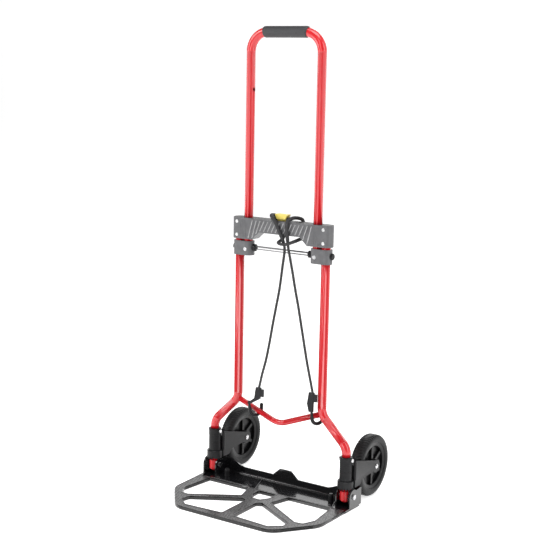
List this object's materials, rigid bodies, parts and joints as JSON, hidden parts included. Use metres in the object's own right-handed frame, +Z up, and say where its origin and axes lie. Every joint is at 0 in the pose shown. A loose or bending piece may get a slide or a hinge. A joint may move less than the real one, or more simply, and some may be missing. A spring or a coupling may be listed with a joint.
{
  "type": "hand truck",
  "caption": "Folding hand truck with telescopic tube handle, push-button release, folding toe plate geared to swing-in wheels, and a hooked bungee cord.",
  "frame": {"origin": "on the floor, midway between the two lower tubes, in the plane of the tubes", "axes": "+Z up along the tubes, toe plate towards -Y, wheels behind at +Y, +X to the truck's side"},
  "size_m": [0.4024, 0.394, 1.0365],
  "materials": {
    "red_steel": "gloss",
    "red_plastic": "gloss",
    "black_trim": "satin",
    "grip_rubber": "ribbed matte",
    "hardware": "satin zinc",
    "dark_steel": "blackened",
    "grey_plastic": "moulded satin",
    "yellow_plastic": "semi-gloss",
    "black_steel": "gloss black",
    "plate_plastic": "textured",
    "fork_plastic": "satin moulded",
    "gear_plastic": "satin moulded",
    "tyre_rubber": "matte",
    "cord_cover": "woven cover",
    "hook_plastic": "satin moulded"
  },
  "bodies": {
    "frame": {"lower_tube_left": "red_steel", "lower_tube_right": "red_steel", "cross_brace": "red_steel", "end_plug_left": "red_plastic", "end_plug_right": "red_plastic", "stop_collar_left": "black_trim", "stop_collar_right": "black_trim", "collar_bolts": "hardware", "pivot_bolt_left": "hardware", "pivot_bolt_right": "hardware", "bridge_front_shell": "grey_plastic", "bridge_back_shell": "grey_plastic", "bridge_rivets": "hardware", "button_guide": "black_trim", "button_spring": "hardware", "bungee_cord": "cord_cover", "cord_hook_left": "hook_plastic", "cord_hook_right": "hook_plastic"},
    "handle": {"handle_tube": "red_steel", "grip": "grip_rubber", "slider_left": "grey_plastic", "slider_right": "grey_plastic", "slider_screws": "hardware", "tie_rod_upper": "dark_steel", "tie_rod_lower": "hardware", "rod_bushes": "black_trim", "slider_caps": "black_trim"},
    "button": {"push_button": "yellow_plastic"},
    "pin_left": {"lock_pin_left": "hardware"},
    "pin_right": {"lock_pin_right": "hardware"},
    "toe": {"toe_beam": "black_steel", "toe_plate": "plate_plastic", "toe_plate_screws": "hardware", "beam_posts": "black_trim", "toe_gear_left": "gear_plastic", "toe_gear_right": "gear_plastic"},
    "fork_l": {"fork_left": "fork_plastic", "fork_gear_left": "gear_plastic", "axle_bolt_left": "hardware", "axle_nut_left": "hardware"},
    "fork_r": {"fork_right": "fork_plastic", "fork_gear_right": "gear_plastic", "axle_bolt_right": "hardware", "axle_nut_right": "hardware"},
    "wheel_l": {"tyre_left": "tyre_rubber", "rim_left": "fork_plastic", "hub_bushes_left": "gear_plastic"},
    "wheel_r": {"tyre_right": "tyre_rubber", "rim_right": "fork_plastic", "hub_bushes_right": "gear_plastic"}
  },
  "joints": [
    {"name": "handle_slide", "type": "slide", "parent": "frame", "child": "handle", "axis": [0, 0, 1], "range_m": [-0.292, 0]},
    {"name": "button_press", "type": "slide", "parent": "frame", "child": "button", "axis": [0, 0, -1], "range_m": [0, 0.005], "stiffness_N_per_m": 300, "springref_m": -0.004, "deforming": ["button_spring"]},
    {"name": "pin_left_slide", "type": "slide", "parent": "frame", "child": "pin_left", "axis": [1, 0, 0], "range_m": [0, 0.005]},
    {"name": "pin_right_slide", "type": "slide", "parent": "frame", "child": "pin_right", "axis": [-1, 0, 0], "range_m": [0, 0.005]},
    {"name": "toe_fold", "type": "hinge", "parent": "frame", "child": "toe", "pos_m": [0, 0, 0.029], "axis": [-1, 0, 0], "range_deg": [0, 90]},
    {"name": "fork_left_swing", "type": "hinge", "parent": "frame", "child": "fork_l", "pos_m": [-0.177, 0, 0], "axis": [0, 0, -1], "range_deg": [0, 90]},
    {"name": "fork_right_swing", "type": "hinge", "parent": "frame", "child": "fork_r", "pos_m": [0.177, 0, 0], "axis": [0, 0, 1], "range_deg": [0, 90]},
    {"name": "wheel_left_spin", "type": "hinge", "parent": "fork_l", "child": "wheel_l", "pos_m": [-0.177, 0.105, 0.07], "axis": [1, 0, 0], "continuous": true},
    {"name": "wheel_right_spin", "type": "hinge", "parent": "fork_r", "child": "wheel_r", "pos_m": [0.177, 0.105, 0.07], "axis": [1, 0, 0], "continuous": true}
  ],
  "couplings": [
    {"joint": "pin_left_slide", "follows": "button_press", "ratio": 1},
    {"joint": "pin_right_slide", "follows": "button_press", "ratio": 1},
    {"joint": "fork_left_swing", "follows": "toe_fold", "ratio": 1},
    {"joint": "fork_right_swing", "follows": "toe_fold", "ratio": 1}
  ]
}
